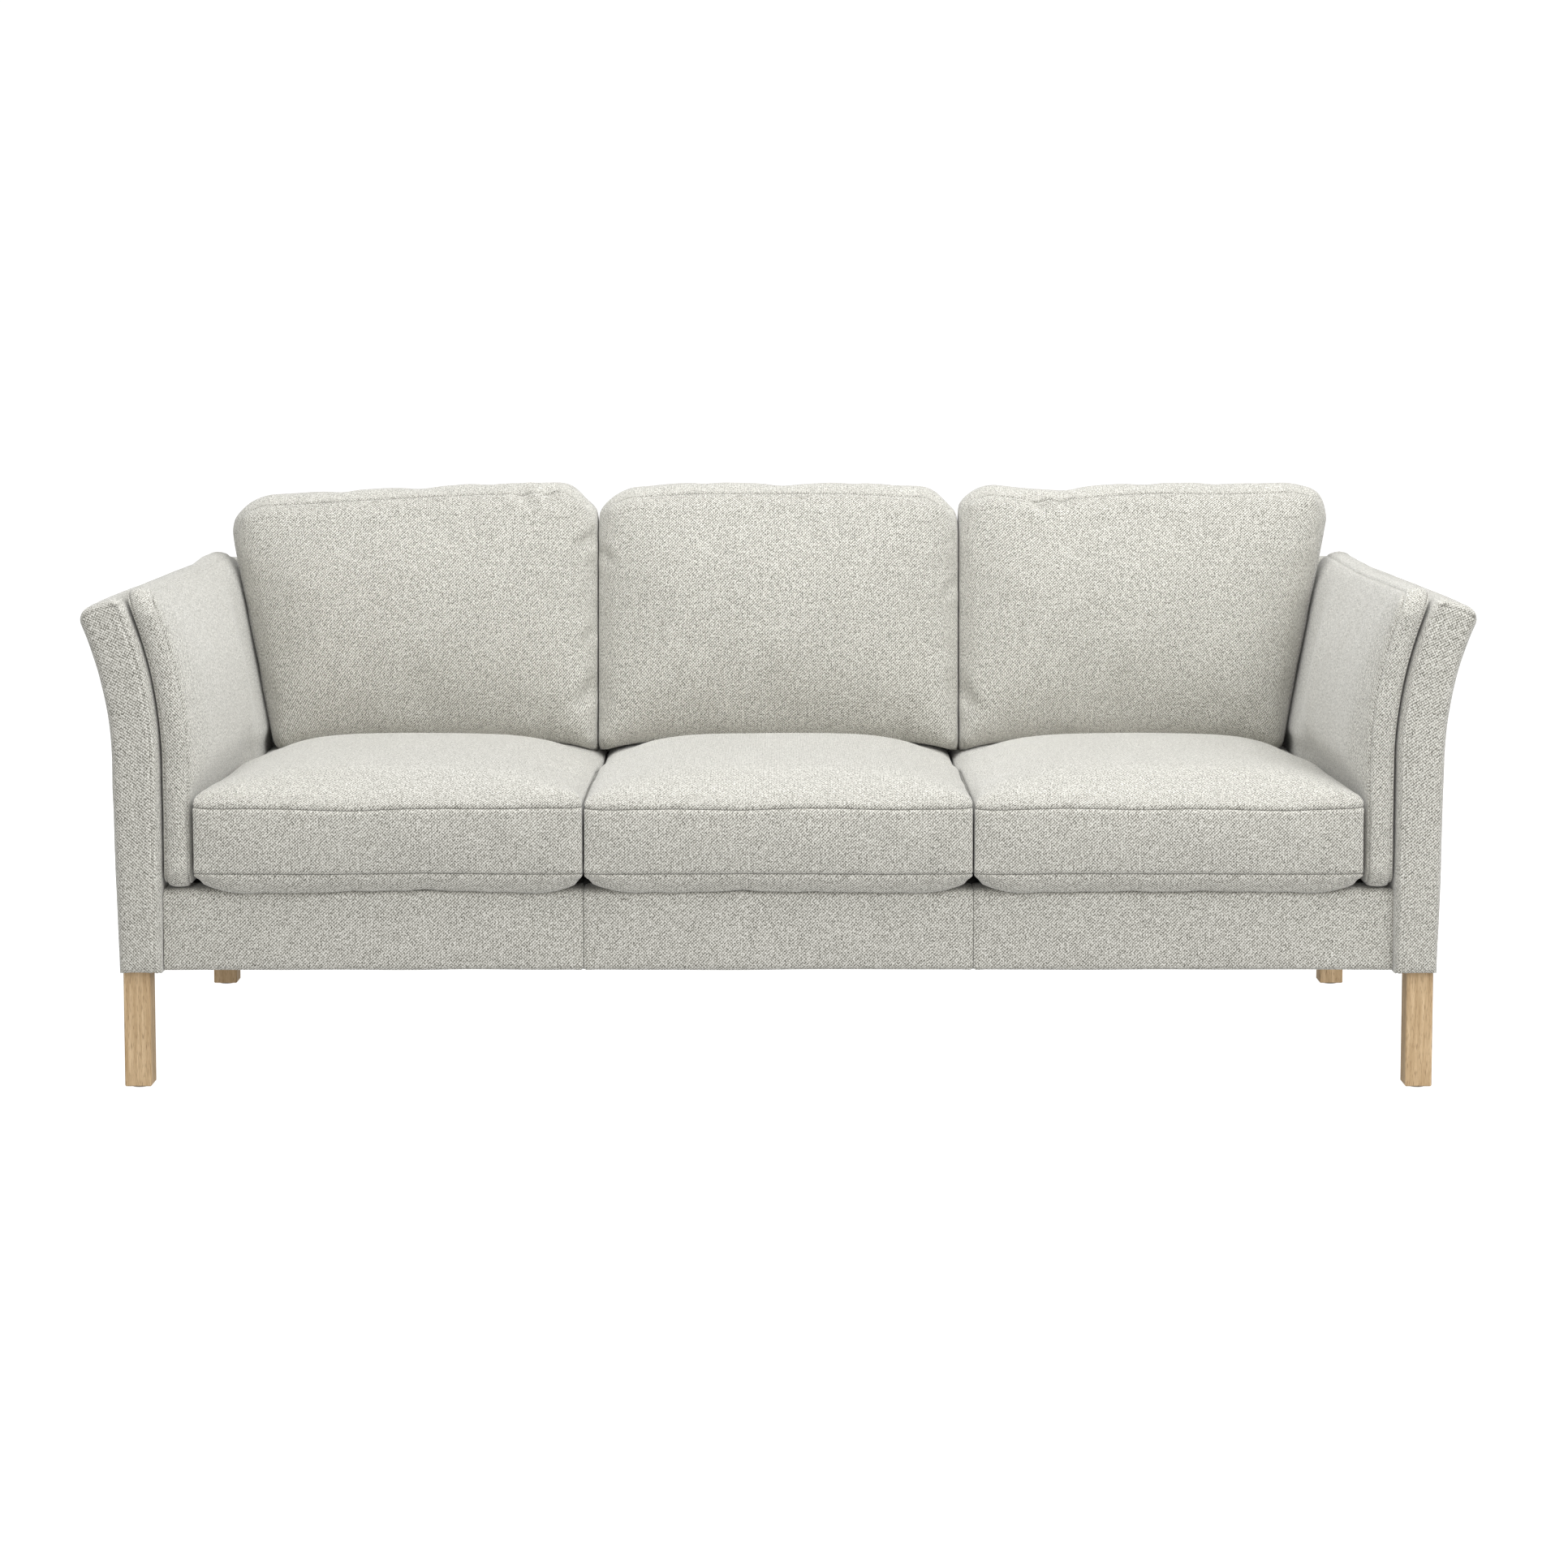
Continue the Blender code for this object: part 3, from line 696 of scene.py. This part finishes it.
class Cushion:
    """A boxed cushion, swollen by air in its own frame, centred on 0: its two panels face along cap_axis."""

    def __init__(self, sizes, cap_axis, seams, corner_radii, edge_radius, cap, coarse=0.014, fine=0.008):
        marks = [[0.0], [0.0], [0.0]]
        marks[cap_axis] = [0.0 if callable(seam) else sign * seam for sign, seam in zip((1, -1), seams)]
        self.sizes = sizes
        self.rough = Lattice(*(even(max(5, round(size / coarse))) for size in sizes))
        self.smooth = Lattice(*(rows(size, fine, mark) for size, mark in zip(sizes, marks)))
        block = pillow_box(self.rough.points, sizes, cap_axis, corner_radii, edge_radius)
        puffed = swollen(self.rough, block, cap, seam_distance(self.rough, sizes, cap_axis, seams))
        for axis in range(3):
            if axis != cap_axis:  # the cloth's pull narrows it a little, and it fills its space
                puffed[:, axis] *= sizes[axis] / np.ptp(puffed[:, axis])
        self.core = puffed - normals_of(puffed, self.rough.quads) * COVER_TO_FOAM
        self.cover = self.rough.resampled(puffed, self.smooth)
        self.distance = seam_distance(self.smooth, sizes, cap_axis, seams)

    def put(self, body, place, creases=(), fill=0.8, seam_shade_fading=0.0):
        """Makes the sewn cover and the foam core on a body. place(places) carries the cushion's own frame to
        its place on the sofa, and presses it against what it lies against. The last argument, in metres, makes
        the painted shade along the seams fainter."""
        seed = sum(map(ord, body))
        quads = self.smooth.quads
        places = rippled(self.cover, quads, 0.0024, 7, seed)
        places = rippled(places, quads, 0.0006, 22, seed + 1)
        places = creased(places, quads, creases)
        places = place(sewn(places, quads, self.distance))
        cover = sewn_object(
            body + "_upholstery", body, [body + "_cover"], self.smooth, places, self.sizes,
            self.distance + seam_shade_fading, UPHOLSTERY,
        )
        unsewn = np.full(len(self.core), np.inf)
        core = sewn_object(
            body + "_foam", body, [body + "_core"], self.rough, place(self.core), self.sizes, unsewn,
            FOAM,
        )


def seat_cushions():
    """Three boxed cushions, pressed flat where they meet each other, the platform and the back cushions."""
    low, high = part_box("seat_cushion_centre_cover")
    sizes = (high.x - low.x + 0.012, high.y - low.y + 0.002, 0.150)
    made = Cushion(
        sizes, cap_axis=2, seams=(0.0255, 0.0225), corner_radii=(0.009, 0.009, 0.024, 0.024),
        edge_radius=0.026, cap=0.034,
    )
    end_lift, seam_curl = 0.016, 0.007  # of the underside and of the top seam, at a cushion's ends
    ahead, below = 0.009, 0.010  # how far the front edge hangs in front of the rail, and below its top
    seam_sag = 0.0035
    loaded_top, load_drop = 0.4815, 0.0325  # of the top under a back cushion
    end_droop, rear_droop = 0.006, 0.021  # of the top's ends, and how much more at the rear
    for name in ("left", "centre", "right"):
        body = "seat_cushion_" + name
        low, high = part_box(body + "_cover")
        middle = (low + high) / 2

        def place(places):
            from_end = sizes[0] / 2 - np.abs(places[:, 0])
            x, y, z = (places + (middle.x, middle.y - 0.002, low.z + sizes[2] / 2)).T
            # the underside runs up towards the cushion's ends, and the top seam curls up between two cushions
            z = z + end_lift * np.exp(-((from_end / 0.050) ** 1.3)) * smooth_step(-z, -0.330, -0.302)
            z = z + seam_curl * np.exp(-from_end / 0.014) * smooth_step(z, 0.390, 0.425)
            x = pressed_below(pressed_above(x, low.x + 0.0002, 0.003), high.x - 0.0002, 0.003)
            y = pressed_below(pressed_above(y, low.y - ahead, 0.004), high.y - 0.001, 0.005)
            # the front edge hangs a little in front of the rail, and its seams sag in the middle
            overhang = smooth_step(-y, 0.393, 0.411)
            z = z - overhang * 0.009 * smooth_step(-z, -0.325, -0.303)
            z = pressed_above(z, low.z + 0.0004 - below * overhang, 0.004)
            bow = 1 - (2 * places[:, 0] / sizes[0]) ** 2
            wave = np.sin(29 * x + 3 * middle.x) * 0.0010 + np.sin(13 * x + 1) * 0.0012
            z = z + (wave - seam_sag * bow) * smooth_step(-y, 0.33, 0.42) * smooth_step(z, 0.30, 0.40)
            # the back cushion rests on the rear of the top
            z = pressed_below(z, loaded_top - load_drop * smooth_step(y, 0.06, 0.20), 0.010)
            droop = end_droop + rear_droop * smooth_step(y, -0.05, 0.15)
            z = z - droop * np.exp(-from_end / 0.060) * smooth_step(z, 0.385, 0.440)
            return np.stack([x, y, z], axis=1)

        made.put(body, place)


def back_cushions():
    """Three boxed cushions that lean on the back. The outer two narrow downwards between the side cushions."""
    seat_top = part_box("seat_cushion_centre_cover")[1].z
    low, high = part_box("back_cushion_centre_cover")
    sizes = (high.x - low.x + 0.018, 0.130, high.z - low.z + 0.010)
    inner_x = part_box("back_cushion_right_cover")[0].x
    half_gap = (inner_x - high.x) / 2 - 0.0002  # the cushions meet in the middle of the gap between them
    front_y, front_lean = 0.199, 0.115  # of the front at the seat, and further back per metre of height
    foot_thickness, thinning, thinning_height = 0.128, 0.045, 0.43
    end_drop, end_reach = 0.024, 0.027  # how far the lower corners hang down, and how far they may

    def seam_offset(points):
        """The seams run near the crest, and further round the boxing down the sides."""
        return 0.032 * (1 - smooth_step(points[:, 2], 0.80, 0.95))

    made = Cushion(
        sizes, cap_axis=1, seams=(seam_offset, seam_offset), corner_radii=(0.028, 0.028, 0.072, 0.072),
        edge_radius=0.046, cap=0.036,
    )
    middle_z = (low.z + high.z) / 2 - 0.005
    for index, name in enumerate(("left", "centre", "right")):
        side = index - 1  # -1 left, 0 centre, 1 right

        def place(places, side=side, name=name):
            u, depth, v = places.T
            z = middle_z + v
            z = z - BACK_SAG[name] * crest_sag(name, 2 * u / sizes[0]) * smooth_step(z, 0.62, 0.85)
            from_end = sizes[0] / 2 - np.abs(u)
            z = z - end_drop * np.exp(-from_end / 0.070) * smooth_step(-v, 0.06, 0.20)
            x = pressed_below(pressed_above(u, low.x - half_gap, 0.004), high.x + half_gap, 0.004)
            if side:  # the outer edge slopes outwards towards the top
                share = side * u / sizes[0] + 0.5
                start_x = inner_x - 0.009
                x = start_x + share * (back_end_x(z) - start_x)
                x = side * pressed_above(x, inner_x - half_gap, 0.004)
            for end, reach in zip((-1, 1), CORNER_REACH[name]):  # some top corners are squarer than others
                corner = ((sizes[0] / 2 - end * u - 0.021) ** 2 + (sizes[2] / 2 - v - 0.021) ** 2) / 0.030**2
                x, z = x + end * reach * np.exp(-corner), z + reach * np.exp(-corner)
            front = front_y + front_lean * (z - seat_top)
            thickness = foot_thickness - thinning * np.clip((z - seat_top) / thinning_height, 0, 1)
            y = front + (depth / sizes[1] + 0.5) * thickness
            y = pressed_below(y, back_face_y(z) - 0.0045, 0.010)
            resting = seat_top - COVER_GAP - end_reach * np.exp(-from_end / 0.060)
            z = pressed_above(z, resting, 0.004)
            return np.stack([x, y, z], axis=1)

        made.put("back_cushion_" + name, place, BACK_CREASES[name])


def crest_sag(name, across):
    """How the top edge of a back cushion dips, from its left end (-1) to its right end (1)."""
    if name == "left":
        return smooth_step(-across, -0.55, 1.0)
    if name == "right":
        return np.exp(-(((across + 0.50) / 0.28) ** 2))
    return smooth_step(np.abs(across), 0.35, 1.0)


def side_cushions():
    """Two boxed cushions that lie against the insides of the arms and follow their curve."""
    low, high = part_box("side_cushion_right_cover")
    sizes = (0.047, high.y - low.y, high.z - low.z)
    made = Cushion(
        sizes, cap_axis=0, seams=(0, 0), corner_radii=(0.034, 0.022, 0.040, 0.044),
        edge_radius=0.0225, cap=0.022,
    )
    free_depth, squeeze = 0.068, 0.0205  # how far they stand in from the arm, and how much less by the seat
    fullness, top_rise, rear_rise = 0.017, 0.005, 0.007
    middle = (sizes[0] / 2, (low.y + high.y) / 2, (low.z + high.z) / 2)
    for side_name, side in (("left", -1), ("right", 1)):

        def place(places, side=side):
            inwards, y, z = (places * (-1, 1, 1) + middle).T
            face = arm_face_x(z) - COVER_GAP
            fuller = fullness * smooth_step(y, -0.05, 0.18) * smooth_step(-z, -0.72, -0.55)
            inwards = inwards + fuller * smooth_step(inwards, 0.010, 0.045)
            inwards = pressed_above(inwards, 0.0003, 0.005)
            free = free_depth - squeeze * smooth_step(-z, -0.500, -0.440)
            beside_back = face - back_end_x(z) - 0.0010
            limit = free + (np.minimum(beside_back, free + 0.008) - free) * smooth_step(y, 0.02, 0.16)
            inwards = pressed_below(inwards, limit, 0.010)
            y = pressed_below(y, high.y - 0.001, 0.006)
            z = pressed_above(z, low.z + 0.0004, 0.005)
            z = z + (top_rise + rear_rise * smooth_step(y, 0.02, 0.30)) * smooth_step(z, 0.60, 0.75)
            return np.stack([side * (face - inwards), y, z], axis=1)

        # the painted shade along these cushions' seams is a little fainter
        made.put("side_cushion_" + side_name, place, seam_shade_fading=0.0008)


# ---------------------------------------------------------------- upholstery on the frame


def open_below(lattice):
    """Leaves the lattice's bottom open."""
    bottom = [side[0] for side in LATTICE_SIDES].index("bottom")
    keep = lattice.sides != bottom
    lattice.quads, lattice.sides = lattice.quads[keep], lattice.sides[keep]


def wadded(obj):
    """Gives an open skin its thickness of wadding, inwards."""
    solid = obj.modifiers.new("wadding", "SOLIDIFY")
    solid.thickness, solid.offset = WADDING, -1


def fixed_cover(node, sizes, marks, shape, distance_of, seed, fine=0.009, ripple=0.0016):
    """Upholstery stretched over a part of the frame, sewn along the lines where distance_of is 0. shape
    carries a lattice's points to their places, and marks are the lines across each axis with close rows."""
    lattice = Lattice(*(rows(size, fine, mark) for size, mark in zip(sizes, marks)))
    places = shape(lattice.points)
    lattice.quads = facing_out(places, lattice.quads)
    distance = distance_of(lattice.points * sizes, lattice)
    places = places + normals_of(places, lattice.quads) * (crown_of(lattice, 4) * 0.0025)[:, None]
    places = rippled(places, lattice.quads, ripple, 6, seed)
    places = rippled(places, lattice.quads, ripple / 3, 25, seed + 1)
    places = sewn(places, lattice.quads, distance, 0.0018, 0.0007)
    open_below(lattice)
    obj = sewn_object(
        node.replace("_cover", "_upholstery"), "frame", [node], lattice, places, sizes, distance, UPHOLSTERY,
    )
    wadded(obj)


def arms():
    """Shaped sleeves. The side panels wrap round onto the front, where the facing is sewn in."""
    width = 0.068
    top_fall = 0.0245  # from the top's inner edge to its outer edge
    lean, lean_height = 0.007, 0.312  # of the outer face below its curve
    seam_in, seam_down = 0.011, 0.009  # of the facing's seam, from its inner edge and from its top
    for side_name, side in (("left", -1), ("right", 1)):
        node = f"arm_{side_name}_cover"
        low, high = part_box(node)
        depth, height = high.y - low.y, high.z - low.z

        def shape(points, side=side):
            u, v, w = pillow_box(points, (width, depth, height), 1, (0.004, 0.004, 0.020, 0.020), 0.012).T
            across, up = u / width + 0.5, w / height + 0.5
            z = low.z - ARM_HEM + up * (height + ARM_HEM + ARM_CROWN - top_fall * across)
            outer = ARM_OUTER_X + lean * np.clip((z - low.z) / lean_height, 0, 1) + flare(z, *ARM_OUTER_CURVE)
            inner = arm_face_x(z)
            return np.stack([side * (inner + (outer - inner) * across), v, z], axis=1)

        def distance_of(places, lattice):
            u, _, w = places.T
            inside = np.minimum(u - seam_in, height - w - seam_down)
            facing = (lattice.points[:, 1] < 1e-9) | (lattice.points[:, 1] > 1 - 1e-9)
            return np.where(facing, np.abs(inside) + 0.0007, 1.0)

        marks = ((seam_in,), (0.0,), (-seam_down,))
        fixed_cover(node, (width, depth, height), marks, shape, distance_of, seed=3 + side)


def back_upholstery():
    """The upholstered back, with two upright seams down its rear panel."""
    low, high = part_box("back_cover")
    depth, height = high.y - BACK_FACE[0], high.z - low.z
    width = 2 * (ARM_INNER_X - COVER_GAP)
    third = width / 2 - BACK_SEAM_X
    hem_seam, edge_seam = 0.020, 0.010  # in from the rear panel's bottom, and from its other edges

    def shape(points):
        u, v, w = pillow_box(points, (width, depth, height), 1, (0.004, 0.004, 0.014, 0.014), 0.012).T
        z = low.z + (w / height + 0.5) * height
        half = arm_face_x(z) - COVER_GAP
        front = back_face_y(z)
        y = front + (v / depth + 0.5) * (high.y - front)
        return np.stack([u / (width / 2) * half, y, z], axis=1)

    def distance_of(places, lattice):
        u, _, w = places.T
        upright = np.minimum(np.abs(u - third), np.abs(width - u - third))
        rear = lattice.points[:, 1] > 1 - 1e-9
        hem = np.abs(w - hem_seam)
        edge = np.abs(np.minimum(np.minimum(u, width - u), height - w) - edge_seam)
        return np.where(rear, np.minimum(np.minimum(upright, hem), edge), 1.0)

    marks = ((third, -third, edge_seam, -edge_seam), (0.0,), (hem_seam, -edge_seam))
    sizes = (width, depth, height)
    fixed_cover("back_cover", sizes, marks, shape, distance_of, seed=11, fine=0.014, ripple=0.0022)


def front_rail_upholstery():
    """Fabric over wadding round the front rail: a face with two upright seams, a lap over the top, a hem."""
    node = "front_rail_cover"
    low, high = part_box(node)
    radius = 0.014  # of the edge along the rail's top
    lap = 0.060  # from the face to the end of the lap
    width = high.x - low.x
    half = width / 2
    third = half - BACK_SEAM_X
    xs = rows(width, 0.009, (third, -third)) * width - half
    corner = np.array([low.y + radius, high.z - radius])
    turn = np.radians(np.linspace(180, 90, 7))
    profile = [(low.y + 0.029, low.z), (low.y + 0.016, low.z), (low.y + 0.004, low.z), (low.y, low.z + 0.004)]
    profile += [(low.y, z) for z in np.linspace(low.z + 0.009, high.z - radius - 0.008, 12)]
    profile += [(corner[0] + radius * math.cos(t), corner[1] + radius * math.sin(t)) for t in turn]
    profile += [(y, high.z) for y in np.linspace(low.y + radius + 0.008, low.y + lap, 6)]
    profile = np.array(profile)
    length = np.concatenate([[0], np.cumsum(np.linalg.norm(np.diff(profile, axis=0), axis=1))])
    rows_of, columns = len(profile), len(xs)
    grid_x, grid_p = np.meshgrid(xs, np.arange(rows_of), indexing="ij")
    places = np.stack([grid_x.ravel(), profile[grid_p.ravel(), 0], profile[grid_p.ravel(), 1]], axis=1)
    ids = np.arange(columns * rows_of).reshape(columns, rows_of)
    quads = np.stack([c.ravel() for c in (ids[:-1, :-1], ids[1:, :-1], ids[1:, 1:], ids[:-1, 1:])], axis=1)
    if normals_of(places, quads)[ids[0, 8], 1] > 0:  # the face has to look forwards
        quads = quads[:, ::-1].copy()
    distance = np.minimum(np.abs(places[:, 0] - BACK_SEAM_X), np.abs(places[:, 0] + BACK_SEAM_X))
    between = np.minimum(distance, half - np.abs(places[:, 0]))
    puff = 0.0020 * (1 - np.exp(-between / 0.05)) * np.clip((places[:, 2] - low.z) / 0.02, 0, 1)
    places = places + normals_of(places, quads) * puff[:, None]
    places = rippled(places, quads, 0.0014, 7, 21)
    places = sewn(places, quads, distance, 0.0016, 0.0006)
    obj = mesh_object("front_rail_upholstery", places, quads)
    layer = obj.data.uv_layers.new(name=UV_NAME)
    flat = np.stack([places[:, 0], length[grid_p.ravel()]], axis=1)
    layer.uv.foreach_set("vector", flat[quads].reshape(-1, 2).astype(np.float32).ravel())
    set_seams(obj, distance)
    obj.data.materials.append(UPHOLSTERY)
    obj.data.shade_smooth()
    wadded(obj)
    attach(obj, "frame")
    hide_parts(node)


def dress_frame():
    """Gives every CAD node that still shows its real material."""
    oak = wood_material("oak", (0.70, 0.515, 0.31), (0.45, 0.30, 0.155), (0.20, 0.11, 0.045), 0.5)
    timber = wood_material(
        "frame_timber", (0.66, 0.52, 0.34), (0.55, 0.40, 0.23), (0.34, 0.23, 0.12), 0.65, figure=1.6
    )
    board = board_material()
    spring = steel_material("spring_steel", (0.30, 0.30, 0.32), 0.42)
    bolt = steel_material("bolt_steel", (0.66, 0.65, 0.62), 0.30)
    felt = felt_material("glide_felt", (0.10, 0.095, 0.09), (0.24, 0.23, 0.22))
    platform = felt_material("platform_cloth", (0.075, 0.072, 0.068), (0.16, 0.155, 0.15))
    dust = felt_material("dust_cloth", (0.022, 0.022, 0.024), (0.06, 0.06, 0.064))
    kinds = (
        ("leg_bolt", bolt), ("leg_", oak), ("glide", felt), ("seat_spring", spring),
        ("seat_platform", platform), ("dust_cover", dust), ("back_lining_board", board),
    )
    for name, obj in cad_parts.items():
        material = next((m for start, m in kinds if name.startswith(start)), timber)
        obj.data.materials.clear()
        obj.data.materials.append(material)


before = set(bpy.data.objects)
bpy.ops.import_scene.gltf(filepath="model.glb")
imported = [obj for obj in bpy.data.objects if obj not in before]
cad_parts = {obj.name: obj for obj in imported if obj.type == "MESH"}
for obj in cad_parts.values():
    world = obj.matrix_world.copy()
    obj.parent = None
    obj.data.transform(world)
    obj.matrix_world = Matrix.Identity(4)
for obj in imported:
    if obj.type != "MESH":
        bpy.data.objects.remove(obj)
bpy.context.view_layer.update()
make_stage()
UPHOLSTERY = upholstery_material()
FOAM = foam_material()
dress_frame()
arms()
back_upholstery()
front_rail_upholstery()
seat_cushions()
back_cushions()
side_cushions()
